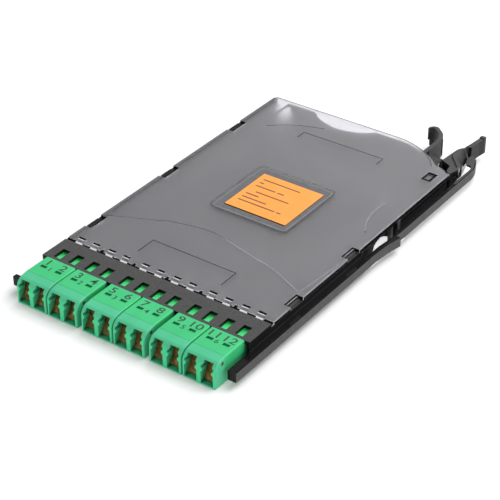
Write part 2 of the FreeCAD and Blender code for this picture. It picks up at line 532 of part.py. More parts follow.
tools.append(box("cover_rim_line", "rim_line", "116", "1", "-half_wide + 1.7", "30.5", "case_top - rim_deep"))
rs, rf, rr = size("recess_size") / 2, size("recess_front"), size("recess_round")
rl = rf + size("recess_size")
k = rr * (1 - math.sqrt(0.5))
recess_plan = [(-rs + rr, rf), (rs - rr, rf), ((rs - k, rf + k), (rs, rf + rr)), (rs, rl - rr),
               ((rs - k, rl - k), (rs - rr, rl)), (-rs + rr, rl), ((-rs + k, rl - k), (-rs, rl - rr)),
               (-rs, rf + rr), ((-rs + k, rf + k), (-rs + rr, rf))]
tools.append(prism("cover_recess", "xy", recess_plan, "case_top - recess_deep", "5"))
finished(cut("cover", cover_plate, tools), "cover")
lx, lw = size("label_x"), size("label_wide") / 2
ly, ll = size("label_front"), size("label_long")
label_plan = [(lx - lw, ly), (lx + lw, ly), (lx + lw, ly + ll), (lx - lw, ly + ll)]
finished(prism("label", "xy", label_plan, "case_top - recess_deep", "label_thick"), "label")

# ---------------------------------------------------------------- fibre store
runs = []
bend = size("coil_bend")
for i, (sx, gy, turn) in enumerate(((1, "guide_rear", 0), (-1, "guide_rear", 90), (-1, "guide_front", 180), (1, "guide_front", 270)), start=1):
    elbow = doc.addObject("Part::Torus", "coil_elbow_%d" % i)
    elbow.Placement = FreeCAD.Placement(V(0, 0, 0), FreeCAD.Rotation(V(0, 0, 1), turn))
    elbow.Angle3 = 90
    bind(elbow, Radius1="coil_bend", Radius2="coil_rad", Placement__Base__x="%d*guide_x" % sx,
         Placement__Base__y=gy, Placement__Base__z="coil_z")
    runs.append(elbow)
runs += [
    rod("coil_front", "coil_rad", "2*guide_x", "-guide_x", "guide_front - coil_bend", "coil_z", "x"),
    rod("coil_rear", "coil_rad", "2*guide_x", "-guide_x", "guide_rear + coil_bend", "coil_z", "x"),
    rod("coil_left", "coil_rad", "guide_rear - guide_front", "-guide_x - coil_bend", "guide_front", "coil_z", "y"),
    rod("coil_right", "coil_rad", "guide_rear - guide_front", "guide_x + coil_bend", "guide_front", "coil_z", "y"),
]
finished(fuse("pigtail_coil", runs), "pigtail_coil")

block = box("splice_block", "block_wide", "block_long", "block_high", "-block_wide/2", "block_front", "floor_thick")
grooves = [rod("groove_%d" % i, "groove_rad", "block_wide + 2", "-block_wide/2 - 1",
               "block_front + block_long/2 + (%g)*groove_pitch" % (i - 6.5), "floor_thick + block_high", "x") for i in range(1, 13)]
finished(cut("splice_holder", block, grooves), "splice_holder")

# ---------------------------------------------------------------- check and write
doc.recompute()
bad = [o.Label for o in doc.Objects if "Invalid" in o.State or "Error" in o.State]
if bad:
    raise RuntimeError("failed features: %s" % bad)
for obj in PARTS:
    shape = obj.Shape
    if shape.isNull() or not shape.isValid() or not shape.Solids:
        raise RuntimeError("bad shape: " + obj.Label)
os.makedirs("parts", exist_ok=True)
for obj in PARTS:
    obj.Shape.exportStep("parts/%s.step" % obj.Label)
    b = obj.Shape.BoundBox
    print("%-20s solids %2d volume %9.2f  x %.2f..%.2f y %.2f..%.2f z %.2f..%.2f" % (
        obj.Label, len(obj.Shape.Solids), obj.Shape.Volume, b.XMin, b.XMax, b.YMin, b.YMax, b.ZMin, b.ZMax))
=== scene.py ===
import math

import bmesh
import bpy
from mathutils import Matrix, Vector


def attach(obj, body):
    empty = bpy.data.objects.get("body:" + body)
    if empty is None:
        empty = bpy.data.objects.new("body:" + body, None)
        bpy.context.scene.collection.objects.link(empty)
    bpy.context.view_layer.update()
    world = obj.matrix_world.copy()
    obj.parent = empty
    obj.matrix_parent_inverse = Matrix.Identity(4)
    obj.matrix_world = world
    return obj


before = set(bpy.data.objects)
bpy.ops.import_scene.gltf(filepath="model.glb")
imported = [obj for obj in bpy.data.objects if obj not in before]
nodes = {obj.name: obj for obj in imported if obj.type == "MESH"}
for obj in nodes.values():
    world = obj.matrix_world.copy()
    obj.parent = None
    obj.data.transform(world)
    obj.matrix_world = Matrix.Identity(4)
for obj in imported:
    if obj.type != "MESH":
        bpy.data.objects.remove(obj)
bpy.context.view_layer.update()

scene = bpy.context.scene

MM = 0.001
OY = 83.0                # the frame's origin lies this far behind the adapters' front face


def at(x, y, z):
    """A point given in millimetres from the adapters' front face, in the frame's metres."""
    return Vector((x * MM, (y - OY) * MM, z * MM))


PAIR = 2 * 12.6 + 0.4 + 1.77
ADAPTERS = [p * PAIR + q * 6.5 for p in (-1, 0, 1) for q in (-1, 1)]
PORTS = [x + q * 3.125 for x in ADAPTERS for q in (-1, 1)]
TOP = 9.4

# ------------------------------------------------------------------ materials


class Mat:
    """A Principled material with helpers for procedural detail."""

    def __init__(self, name):
        self.m = bpy.data.materials.new(name)
        self.m.use_nodes = True
        self.t = self.m.node_tree
        self.b = self.t.nodes["Principled BSDF"]
        self.coord = self.t.nodes.new("ShaderNodeTexCoord")

    def set(self, **values):
        for key, value in values.items():
            self.b.inputs[key.replace("_", " ")].default_value = value
        return self

    def node(self, kind, **inputs):
        n = self.t.nodes.new(kind)
        for key, value in inputs.items():
            n.inputs[key.replace("_", " ")].default_value = value
        return n

    def link(self, a, b):
        self.t.links.new(a, b)

    def noise(self, scale, detail=4.0, rough=0.55, stretch=None):
        n = self.node("ShaderNodeTexNoise", Scale=scale, Detail=detail, Roughness=rough)
        src = self.coord.outputs["Object"]
        if stretch:
            mp = self.node("ShaderNodeMapping")
            mp.inputs["Scale"].default_value = stretch
            self.link(src, mp.inputs["Vector"])
            src = mp.outputs["Vector"]
        self.link(src, n.inputs["Vector"])
        return n.outputs["Fac"]

    def ramp(self, fac, stops):
        r = self.t.nodes.new("ShaderNodeValToRGB")
        while len(r.color_ramp.elements) > 1:
            r.color_ramp.elements.remove(r.color_ramp.elements[-1])
        for i, (pos, col) in enumerate(stops):
            e = r.color_ramp.elements[0] if i == 0 else r.color_ramp.elements.new(pos)
            e.position = pos
            e.color = tuple(col) + (1.0,) if len(col) == 3 else col
        self.link(fac, r.inputs["Fac"])
        return r.outputs["Color"]

    def spread(self, fac, low, high, lo_in=0.3, hi_in=0.7):
        r = self.node("ShaderNodeMapRange", From_Min=lo_in, From_Max=hi_in, To_Min=low, To_Max=high)
        r.clamp = True
        self.link(fac, r.inputs["Value"])
        return r.outputs["Result"]

    def mix(self, fac, a, b):
        x = self.t.nodes.new("ShaderNodeMix")
        x.data_type = "RGBA"
        self.link(fac, x.inputs[0])
        for value, socket in ((a, x.inputs[6]), (b, x.inputs[7])):
            if isinstance(value, (tuple, list)):
                socket.default_value = tuple(value) + (1.0,)
            else:
                self.link(value, socket)
        return x.outputs[2]

    def math(self, op, a, b):
        n = self.t.nodes.new("ShaderNodeMath")
        n.operation = op
        for i, v in enumerate((a, b)):
            if isinstance(v, (int, float)):
                n.inputs[i].default_value = v
            else:
                self.link(v, n.inputs[i])
        return n.outputs[0]

    def axes(self, output):
        """The three parts of a coordinate, in the object's own axes."""
        n = self.t.nodes.new("ShaderNodeSeparateXYZ")
        self.link(self.coord.outputs[output], n.inputs[0])
        return n.outputs[0], n.outputs[1], n.outputs[2]

    def above(self, value, low, high):
        """0 below low and 1 above high."""
        return self.spread(value, 0.0, 1.0, low, high)

    def edges(self, radius, power=1.0):
        """1 along convex edges and 0 on the faces, with the rounded normal of those edges."""
        bev = self.node("ShaderNodeBevel", Radius=radius)
        bev.samples = 6
        geo = self.t.nodes.new("ShaderNodeNewGeometry")
        dot = self.t.nodes.new("ShaderNodeVectorMath")
        dot.operation = "DOT_PRODUCT"
        self.link(bev.outputs["Normal"], dot.inputs[0])
        self.link(geo.outputs["True Normal"], dot.inputs[1])
        r = self.node("ShaderNodeMapRange", From_Min=1.0, From_Max=0.75, To_Min=0.0, To_Max=power)
        self.link(dot.outputs["Value"], r.inputs["Value"])
        return r.outputs["Result"], bev.outputs["Normal"]

    def bump(self, height, strength, distance, normal=None):
        bp = self.node("ShaderNodeBump", Strength=strength, Distance=distance)
        self.link(height, bp.inputs["Height"])
        if normal is not None:
            self.link(normal, bp.inputs["Normal"])
        self.link(bp.outputs["Normal"], self.b.inputs["Normal"])
        return self


def moulded(name, dark, light, rough, grain=2600.0, bump=0.25, edge=None, edge_mix=0.5, radius=0.00025, spec=0.5):
    """Moulded plastic: slow tone changes, a fine grain and softly rounded edges; an edge colour, when given, is a
    painted highlight along the edges.
    """
    m = Mat(name)
    tone = m.noise(90.0, 5.0)
    col = m.ramp(tone, [(0.3, dark), (0.7, light)])
    fine = m.noise(grain, 2.0, 0.6)
    edge_highlight_mask, normal = m.edges(radius, edge_mix)
    # painted highlight: a given edge colour lightens the convex edges
    if edge:
        col = m.mix(edge_highlight_mask, col, edge)
    m.link(col, m.b.inputs["Base Color"])
    m.link(m.spread(m.noise(240.0, 4.0), rough - 0.05, rough + 0.07), m.b.inputs["Roughness"])
    m.set(Specular_IOR_Level=spec)
    m.bump(fine, bump, 0.00002, normal)
    return m.m




def charcoal(name, all_tops=False):
    """Charcoal plastic: smooth in its channels, with a spark texture on outward faces and on the faces that are
    handled. Those faces are also painted lighter, as painted light in place of the light and reflections they catch;
    the lever's tops are painted darker the lower they lie, as painted shade; the hook's inner face is painted lighter,
    as painted light; and the edges carry a painted highlight.
    """
    m = Mat(name)
    x, y, z = m.axes("Object")
    nx, ny, nz = m.axes("Normal")
    out = m.math("MULTIPLY", m.above(m.math("ABSOLUTE", nx, 0.0), 0.5, 0.6), m.above(m.math("ABSOLUTE", x, 0.0), 0.0438, 0.0444))
    up = m.above(nz, 0.5, 0.6)
    if all_tops:
        # painted shade: the lever's upward faces are painted light high up and darker the lower they lie
        tops = m.math("MULTIPLY", m.above(nz, 0.3, 0.6), m.above(z, 0.0042, 0.0079))
    else:
        front = m.math("MULTIPLY", m.above(z, 0.0086, 0.0087), m.math("SUBTRACT", 1.0, m.math("MULTIPLY", m.above(y, -0.0559, -0.0556),
                       m.math("SUBTRACT", 1.0, m.above(y, 0.0450, 0.0452)))))
        rear = m.math("MULTIPLY", m.above(y, 0.0556, 0.0559), m.above(z, 0.0050, 0.0055))
        tops = m.math("MULTIPLY", up, m.math("MAXIMUM", front, rear))
        hook = m.math("MULTIPLY", m.above(y, 0.0683, 0.0686), m.math("SUBTRACT", 1.0, m.above(x, 0.0280, 0.0285)))
        tops = m.math("MAXIMUM", tops, hook)
        fin = m.math("MULTIPLY", m.above(x, 0.0415, 0.0417), m.math("MULTIPLY", m.above(y, 0.0190, 0.0192),
                     m.math("SUBTRACT", 1.0, m.above(y, 0.0216, 0.0218))))
        tops = m.math("MAXIMUM", tops, m.math("MULTIPLY", fin, m.above(nx, 0.1, 0.4)))
        clip = m.math("MULTIPLY", m.math("MULTIPLY", m.above(x, 0.0404, 0.0405), m.above(z, 0.0070, 0.0088)), m.above(nz, 0.3, 0.5))
        clip = m.math("MULTIPLY", clip, m.math("MULTIPLY", m.above(y, -0.0456, -0.0454), m.math("SUBTRACT", 1.0, m.above(y, -0.0050, -0.0048))))
        tops = m.math("MAXIMUM", tops, m.math("MULTIPLY", clip, 0.8))
    # faces with the spark texture, which are also painted lighter as painted light in place of the light and
    # reflections they catch
    textured_and_lit = m.math("MAXIMUM", out, tops)
    plain = m.ramp(m.noise(90.0, 5.0), [(0.3, (0.0042, 0.0042, 0.0044)), (0.7, (0.0070, 0.0069, 0.0069))])
    grain = m.noise(2200.0, 3.0, 0.65)
    rough_lit_col = m.ramp(grain, [(0.3, (0.040, 0.0393, 0.0393)), (0.7, (0.078, 0.0757, 0.075))])
    edge_highlight_mask, normal = m.edges(0.00022, 0.5)
    col = m.mix(textured_and_lit, plain, rough_lit_col)
    if not all_tops:
        # painted light: the hook's inner face, turned away from the lamps, is painted lighter
        col = m.mix(m.math("MULTIPLY", hook, m.above(m.math("MULTIPLY", nx, -1.0), 0.2, 0.6)), col, (0.085, 0.083, 0.082))
    # painted highlight along the convex edges
    col = m.mix(edge_highlight_mask, col, (0.050, 0.049, 0.049))
    m.link(col, m.b.inputs["Base Color"])
    smooth = m.spread(m.noise(240.0, 4.0), 0.10, 0.20)
    inside = m.math("MULTIPLY", m.math("SUBTRACT", 1.0, m.above(m.math("ABSOLUTE", x, 0.0), 0.0415, 0.0418)),
                    m.math("MULTIPLY", m.above(y, -0.0560, -0.0558), m.math("SUBTRACT", 1.0, m.above(z, 0.00826, 0.00828))))
    inside = m.math("MULTIPLY", inside, m.math("SUBTRACT", 1.0, m.above(y, 0.0672, 0.0674)))
    finish = m.math("ADD", smooth, m.math("MULTIPLY", textured_and_lit, 0.38))
    m.link(m.math("MAXIMUM", finish, m.math("MULTIPLY", inside, 0.85)), m.b.inputs["Roughness"])
    m.set(Specular_IOR_Level=0.14)
    m.bump(grain, 0.25, 0.00002, normal)
    return m.m


def adapter_green():
    """Green moulded housing: a paler nose, front faces painted lighter as painted light, hollows of the nose painted
    dark as painted shade, ramps under the bezel's windows painted light, and painted highlights along the edges.
    """
    m = Mat("adapter_green_moulded")
    x, y, z = m.axes("Object")
    nx, ny, nz = m.axes("Normal")
    tone = m.noise(90.0, 5.0)
    col = m.ramp(tone, [(0.3, (0.032, 0.420, 0.150)), (0.7, (0.044, 0.485, 0.182))])
    nose = m.math("SUBTRACT", 1.0, m.above(y, -0.07775, -0.07765))
    col = m.mix(nose, col, m.ramp(tone, [(0.3, (0.058, 0.425, 0.220)), (0.7, (0.074, 0.485, 0.256))]))
    # painted light: faces turned to the front are painted lighter
    front = m.above(m.math("MULTIPLY", ny, -1.0), 0.75, 0.95)
    col = m.mix(front, col, m.ramp(tone, [(0.3, (0.042, 0.600, 0.255)), (0.7, (0.056, 0.660, 0.285))]))
    # painted shade: the hollows of the nose, found by occlusion, are painted dark green
    hollow = m.node("ShaderNodeAmbientOcclusion", Distance=0.0025)
    hollow.only_local, hollow.samples = True, 8
    hollow_shade = m.math("MULTIPLY", m.math("MAXIMUM", nose, 0.6), m.math("SUBTRACT", 1.0, m.above(hollow.outputs["AO"], 0.45, 0.93)))
    col = m.mix(hollow_shade, col, (0.001, 0.105, 0.028))
    # painted light: the ramps seen through the bezel's windows are painted light, palest at their near end
    ramp_at = m.math("MULTIPLY", m.above(y, -0.0670, -0.0668), m.math("SUBTRACT", 1.0, m.above(z, 0.0081, 0.0083)))
    lit = m.ramp(m.above(y, -0.0666, -0.0612), [(0.0, (0.140, 0.800, 0.380)), (0.45, (0.070, 0.720, 0.230)), (1.0, (0.050, 0.660, 0.170))])
    col = m.mix(ramp_at, col, lit)
    # painted highlight along the convex edges
    edge_highlight_mask, normal = m.edges(0.00018, 0.3)
    col = m.mix(edge_highlight_mask, col, (0.060, 0.520, 0.250))
    m.link(col, m.b.inputs["Base Color"])
    m.link(m.spread(m.noise(240.0, 4.0), 0.32, 0.44), m.b.inputs["Roughness"])
    m.set(Specular_IOR_Level=0.28)
    m.bump(m.noise(2200.0, 2.0, 0.6), 0.12, 0.00002, normal)
    return m.m


black, lever_black = charcoal("tray_charcoal"), charcoal("lever_charcoal", True)
green = adapter_green()
plug_mat = moulded("connector_dark_moulded", (0.007, 0.008, 0.0075), (0.011, 0.012, 0.0115), 0.55, bump=0.12)
boot_mat = moulded("boot_rubber", (0.007, 0.007, 0.007), (0.011, 0.011, 0.011), 0.6, bump=0.3)
lead_mat = moulded("fibre_jacket", (0.008, 0.008, 0.0082), (0.012, 0.012, 0.0122), 0.6, grain=1500.0)
rubber_mat = moulded("holder_rubber", (0.007, 0.007, 0.0072), (0.011, 0.011, 0.011), 0.65, bump=0.35)
insert_mat = moulded("insert_plastic", (0.55, 0.55, 0.53), (0.62, 0.62, 0.6), 0.45)
ceramic = moulded("ceramic", (0.78, 0.78, 0.75), (0.84, 0.84, 0.82), 0.2, bump=0.05)
ink = moulded("numeral_ink", (0.003, 0.030, 0.013), (0.005, 0.045, 0.020), 0.5)
label_ink = moulded("label_print", (0.085, 0.040, 0.016), (0.13, 0.060, 0.022), 0.5)


def shutter_material():
    m = Mat("shutter_bronze")
    blotch = m.noise(750.0, 6.0, 0.72)
    col = m.ramp(blotch, [(0.30, (0.042, 0.023, 0.002)), (0.50, (0.135, 0.078, 0.008)), (0.72, (0.38, 0.245, 0.048))])
    m.link(col, m.b.inputs["Base Color"])
    m.link(m.spread(m.noise(1600.0, 3.0), 0.35, 0.6), m.b.inputs["Roughness"])
    m.set(Metallic=0.4)
    m.bump(m.noise(2500.0, 2.0), 0.25, 0.00002)
    return m.m


def label_material():
    m = Mat("label_film")
    col = m.ramp(m.noise(160.0, 5.0), [(0.3, (0.86, 0.285, 0.038)), (0.7, (0.92, 0.315, 0.046))])
    m.link(col, m.b.inputs["Base Color"])
    m.link(m.spread(m.noise(400.0, 3.0), 0.42, 0.55), m.b.inputs["Roughness"])
    m.bump(m.noise(1800.0, 2.0), 0.06, 0.00002)
    return m.m


def cover_material():
    m = Mat("cover_smoke_clear")
    # painted sheen: slow random tone changes across the plate, standing in for soft reflections
    col = m.ramp(m.noise(24.0, 5.0), [(0.3, (0.806, 0.802, 0.852)), (0.7, (0.884, 0.876, 0.922))])
    m.link(col, m.b.inputs["Base Color"])
    m.link(m.spread(m.noise(300.0, 4.0), 0.36, 0.46), m.b.inputs["Roughness"])
    m.set(IOR=1.45, Transmission_Weight=0.955, Specular_IOR_Level=0.5)
    m.bump(m.noise(700.0, 3.0), 0.04, 0.00002)
    return m.m


# pale plastic for the cover's lips, the strips by its slits and the flange's rim: painted highlights
def pale_material():
    m = Mat("cover_pale_edge_highlight")
    col = m.ramp(m.noise(900.0, 4.0), [(0.3, (0.72, 0.725, 0.73)), (0.7, (0.88, 0.88, 0.89))])
    m.link(col, m.b.inputs["Base Color"])
    m.link(m.spread(m.noise(500.0, 3.0), 0.2, 0.32), m.b.inputs["Roughness"])
    return m.m


def tone_material(name, dark, light, spec=0.5):
    """Flat greys with a fine random tone: painted shade and painted highlight lines and plates on the cover and tray,
    the clip post's painted-light top, and a few small grey pieces.
    """
    m = Mat(name)
    col = m.ramp(m.noise(500.0, 4.0), [(0.3, dark), (0.7, light)])
    m.link(col, m.b.inputs["Base Color"])
    m.link(m.spread(m.noise(500.0, 3.0), 0.18, 0.28), m.b.inputs["Roughness"])
    m.set(Specular_IOR_Level=spec)
    return m.m


shutter_mat, label_mat, cover_mat, pale = shutter_material(), label_material(), cover_material(), pale_material()
# materials for painted marks: highlight lines, shade lines and plates, the recess floor's shade, the crease's shade
# and the clip post's lit top
highlight_line_mat = tone_material("cover_highlight_line", (0.215, 0.217, 0.228), (0.265, 0.267, 0.280))
fine_highlight_mat = tone_material("cover_fine_highlight_line", (0.180, 0.182, 0.190), (0.225, 0.227, 0.236))
depth_shade_mat = tone_material("cover_depth_shade", (0.0020, 0.0020, 0.0021), (0.0035, 0.0035, 0.0036), 0.04)
frame_mat = tone_material("cover_frame_shade", (0.020, 0.020, 0.0208), (0.032, 0.032, 0.0330), 0.15)
recess_shade_mat = tone_material("cover_recess_shade", (0.088, 0.089, 0.094), (0.112, 0.113, 0.119))
crease_shade_mat = moulded("adapter_crease", (0.008, 0.250, 0.090), (0.012, 0.290, 0.110), 0.45)
shade_mat = tone_material("cover_shade", (0.055, 0.055, 0.058), (0.080, 0.080, 0.085), 0.2)
post_lit_mat = tone_material("clip_post_lit_grey", (0.105, 0.105, 0.109), (0.150, 0.150, 0.156), 0.3)
rib_mat = tone_material("recess_rib_grey", (0.040, 0.039, 0.039), (0.075, 0.073, 0.072), 0.15)
thread_mat = tone_material("channel_line", (0.026, 0.026, 0.026), (0.040, 0.040, 0.040), 0.2)


def paint(name, material):
    ob = nodes[name]
    if not ob.material_slots:
        ob.data.materials.append(material)
    for s in ob.material_slots:
        s.material = material


paint("base_tray", black)
paint("latch_arm", black)
paint("release_lever", lever_black)
for i in range(1, 7):
    paint("adapter_%d" % i, green)
for i in range(1, 13):
    paint("shutter_%d" % i, shutter_mat)
paint("cover", cover_mat)
paint("label", label_mat)
paint("connector_housings", plug_mat)
paint("connector_boots", boot_mat)
paint("pigtail_leads", lead_mat)
paint("pigtail_coil", lead_mat)
paint("splice_holder", rubber_mat)
paint("sleeve_holders", insert_mat)
paint("alignment_sleeves", ceramic)
paint("connector_ferrules", ceramic)

# ------------------------------------------------------------------ added pieces


def add(name, bm, material, body):
    me = bpy.data.meshes.new(name)
    bmesh.ops.recalc_face_normals(bm, faces=bm.faces)
    bm.to_mesh(me)
    bm.free()
    ob = bpy.data.objects.new(name, me)
    scene.collection.objects.link(ob)
    me.materials.append(material)
    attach(ob, body)
    return ob


def slab(bm, pts, z0, z1):
    """A flat prism with the given plan, in millimetres."""
    low = [bm.verts.new(at(x, y, z0)) for x, y in pts]
    high = [bm.verts.new(at(x, y, z1)) for x, y in pts]
    bm.faces.new(low[::-1])
    bm.faces.new(high)
    n = len(pts)
    for i in range(n):
        j = (i + 1) % n
        bm.faces.new((low[i], low[j], high[j], high[i]))


def rect(bm, x0, x1, y0, y1, z0, z1):
    slab(bm, [(x0, y0), (x1, y0), (x1, y1), (x0, y1)], z0, z1)


def ribbon(bm, pts, wide, z0, z1):
    """A thin raised line along a plan path, in millimetres."""
    left, right = [], []
    for i, p in enumerate(pts):
        a, b = pts[max(i - 1, 0)], pts[min(i + 1, len(pts) - 1)]
        dx, dy = b[0] - a[0], b[1] - a[1]
        d = math.hypot(dx, dy)
        nx, ny = -dy / d * wide / 2, dx / d * wide / 2
        left.append((p[0] + nx, p[1] + ny))
        right.append((p[0] - nx, p[1] - ny))
    slab(bm, left + right[::-1], z0, z1)


def smooth_path(points, steps=10):
    """A smooth open path through plan points (Catmull-Rom)."""
    pts = [points[0]] + list(points) + [points[-1]]
    out = []
    for i in range(1, len(pts) - 2):
        p0, p1, p2, p3 = pts[i - 1:i + 3]
        for k in range(steps):
            t = k / steps
            out.append(tuple(0.5 * (2 * b + (c - a) * t + (2 * a - 5 * b + 4 * c - d) * t * t
                                    + (3 * b - a - 3 * c + d) * t ** 3)
                             for a, b, c, d in zip(p0, p1, p2, p3)))
    out.append(tuple(points[-1]))
    return out


def numerals(name, items, material, body, wide=1.0):
    """Plain numbers lying flat, read from the front: (text, x, y, z, height in mm)."""
    bm = bmesh.new()
    for text, x, y, z, high in items:
        cu = bpy.data.curves.new(name + "_" + text, "FONT")
        cu.body = text
        cu.size = high * MM
        cu.extrude = 0.00001
        cu.offset = high * 0.007 * MM
        cu.resolution_u = 4
        tmp = bpy.data.objects.new(cu.name, cu)
        scene.collection.objects.link(tmp)
        dg = bpy.context.evaluated_depsgraph_get()
        me = bpy.data.meshes.new_from_object(tmp.evaluated_get(dg))
        xs, ys = [v.co.x for v in me.vertices], [v.co.y for v in me.vertices]
        k = high * MM / (max(ys) - min(ys))
        me.transform(Matrix.Translation(at(x, y, z)) @ Matrix.Diagonal((k * wide, k, 1.0, 1.0))
                     @ Matrix.Translation((-(max(xs) + min(xs)) / 2, -(max(ys) + min(ys)) / 2, 0.0)))
        bm.from_mesh(me)
        bpy.data.objects.remove(tmp)
        bpy.data.curves.remove(cu)
        bpy.data.meshes.remove(me)
    return add(name, bm, material, body)


numerals("port_numbers", [(str(i + 1), x, 12.9, TOP, 3.0) for i, x in enumerate(PORTS)], ink, "tray", 1.3)
numerals("adapter_numbers", [(str(i + 1), x - 0.3, 10.0, TOP, 2.0) for i, x in enumerate(ADAPTERS)], ink, "tray", 1.2)

# label print: plain bars in place of words
bm = bmesh.new()
LZ = 9.15 + 0.12
for y, runs in ((97.0, ((-10.0, 5.6),)), (94.6, ((-10.0, -8.2),)), (92.2, ((-10.0, -1.6), (-0.8, 2.0))),
                (88.6, ((-7.4, 6.4),)), (86.2, ((-10.0, -4.6),)), (83.8, ((-10.0, 0.2),)), (81.4, ((-10.0, 5.4), (6.2, 8.0)))):
    for x0, x1 in runs:
        rect(bm, x0, x1, y - 0.31, y + 0.31, LZ - 0.005, LZ + 0.012)
add("label_bars", bm, label_ink, "lid")

# pale moulded lips along the cover's front edge, and the paler plastic behind them; their paleness is a painted
# highlight
bm = bmesh.new()
bp = bmesh.new()


def sheet(bm, pts, lift):
    """A thin plate that follows a bent strip of four-point rows, in millimetres."""
    low = [bm.verts.new(at(x, y, z - 0.05)) for x, y, z in pts]
    high = [bm.verts.new(at(x, y - lift * 0.6, z + lift)) for x, y, z in pts]
    bm.faces.new(low[::-1])
    bm.faces.new(high)
    for i in range(4):
        j = (i + 1) % 4
        bm.faces.new((low[i], low[j], high[j], high[i]))


# dark plates painted as shade: in the slits, in the gaps between the lips, beside the end lips, in the clip notches
# and around the clip hole
dark = bmesh.new()
for x in PORTS:
    w = 1.4
    sheet(bm, [(x - w, 27.5, 8.79), (x + w, 27.5, 8.79), (x + w, 28.1, 9.205), (x - w, 28.1, 9.205)], 0.015)
    rect(bp, x - 1.9, x + 0.9, 29.44, 29.70, TOP - 0.02, TOP + 0.01)
    rect(dark, x - 1.99, x + 0.99, 29.81, 30.84, 9.30, 9.36)
for a, b in zip(PORTS, PORTS[1:]):
    c, g = (a + b) / 2, (b - a) / 2 - 1.45
    rect(dark, c - g, c + g, 27.93, 27.99, 8.3, 9.1)
for a, b in zip(PORTS[1::2], PORTS[2::2]):
    c = (a + b) / 2
    rect(dark, c - 0.66, c + 0.66, 28.02, 29.26, 8.98, 9.04)
for x0, x1 in ((-42.05, PORTS[0] - 1.5), (PORTS[-1] + 1.5, 42.05)):
    sheet(dark, [(x0, 27.2, 8.575), (x1, 27.2, 8.575), (x1, 28.2, 9.265), (x0, 28.2, 9.265)], 0.012)
for y0 in (37.7, 71.1):
    rect(dark, 39.34, 39.92, y0 + 0.04, y0 + 6.96, 9.28, 9.34)
    rect(dark, 39.92, 42.0, y0 + 6.54, y0 + 6.97, 9.28, 9.36)
    rect(dark, 39.92, 41.9, y0 + 0.04, y0 + 0.46, 8.8, 8.86)
    rect(dark, 39.34, 42.02, y0 + 6.90, y0 + 6.985, 8.25, 9.385)
for y0 in (36.95, 77.55, 118.85):
    rect(dark, -39.92, -39.36, y0 + 0.04, y0 + 8.36, 9.24, 9.30)
    rect(dark, -40.75, -39.92, y0 + 6.42, y0 + 7.5, 8.8, 8.86)
    rect(dark, -41.9, -39.92, y0 + 7.5, y0 + 8.36, 8.8, 8.86)
    rect(dark, -42.02, -39.34, y0 + 8.30, y0 + 8.385, 8.25, 9.385)
for x0, x1, y0, y1 in ((35.45, 36.1, 129.45, 135.45), (38.3, 39.25, 129.45, 135.45), (36.1, 38.3, 134.1, 135.45), (36.1, 38.3, 129.45, 130.5)):
    rect(dark, x0, x1, y0, y1, 9.20, 9.26)
# the cover's right side faces between the clips, painted dark: painted shade
side = bmesh.new()
for y0, y1 in ((28.6, 37.5), (44.9, 70.9), (78.3, 138.1)):
    xa, xb = (42.1 + 0.1 * (y - 27.1) / 111.2 for y in (y0, y1))
    slab(side, [(xa - 0.01, y0), (xa + 0.012, y0), (xb + 0.012, y1), (xb - 0.01, y1)], 8.22, 9.0)
add("cover_side_shade", side, depth_shade_mat, "lid")
add("cover_front_lips", bm, pale, "lid")
add("cover_slit_rims", bp, pale, "lid")
add("cover_depths", dark, depth_shade_mat, "lid")

# a dark line painted as shade along the crease across each adapter's top, where its nose begins
bm = bmesh.new()
for x in ADAPTERS:
    rect(bm, x - 5.9, x + 5.9, 5.34, 5.48, TOP - 0.02, TOP + 0.004)
add("adapter_creases", bm, crease_shade_mat, "tray")

# fine moulded lines on the cover: lighter lines painted as highlights, darker lines painted as shade, and a small dark
# oval
bm = bmesh.new()
ZL = (TOP - 0.02, TOP + 0.015)
front_arc = smooth_path([(-40.6, 46.2), (-24.5, 53.6), (-19.0, 56.0), (-7.0, 58.6), (2.0, 57.6), (9.8, 55.6), (25.4, 52.0), (38.6, 46.4)])
half_arc = len(front_arc) * 4 // 7
ribbon(bm, front_arc[half_arc:], 0.28, *ZL)
ribbon(bm, [(39.6, 47.0), (41.4, 69.2)], 0.25, *ZL)
rear_arc = smooth_path([(-31.5, 129.8), (-27.7, 133.0), (-21.7, 136.8), (-12.3, 140.1)])
ribbon(bm, smooth_path([(34.0, 108.4), (33.55, 105.4), (33.4, 102.8), (33.6, 100.0), (34.0, 97.3), (34.8, 94.5), (35.8, 91.8), (37.5, 88.8)]), 0.3, *ZL)
add("cover_lines", bm, highlight_line_mat, "lid")
bm = bmesh.new()
ribbon(bm, rear_arc, 0.3, *ZL)
ribbon(bm, front_arc[:half_arc + 1], 0.26, *ZL)
slab(bm, [(37.75 + 0.32 * math.cos(k * math.pi / 5), 88.4 + 0.42 * math.sin(k * math.pi / 5)) for k in range(10)], *ZL)
add("cover_rear_line", bm, shade_mat, "lid")

# dark frames on the cover around its lettering areas, and a dark line painted as shade along its rear rim
bm = bmesh.new()
for pts in ([(-17.2, 129.1), (-17.2, 133.6), (17.2, 133.6), (17.2, 129.1)], [(-17.5, 35.1), (-17.5, 43.3), (16.7, 43.3), (16.7, 35.1)]):
    for a, b in zip(pts, pts[1:]):
        ribbon(bm, [a, b], 0.36, *ZL)
rim = [(-41.5, 150.58), (-14.0, 150.58), (12.8, 150.58)]
rim += [(13.0 + 25.58 * math.sin(math.radians(a)), 125.0 + 25.58 * math.cos(math.radians(a))) for a in range(4, 57, 4)]
ribbon(bm, rim, 0.24, *ZL)
add("cover_frames", bm, frame_mat, "lid")

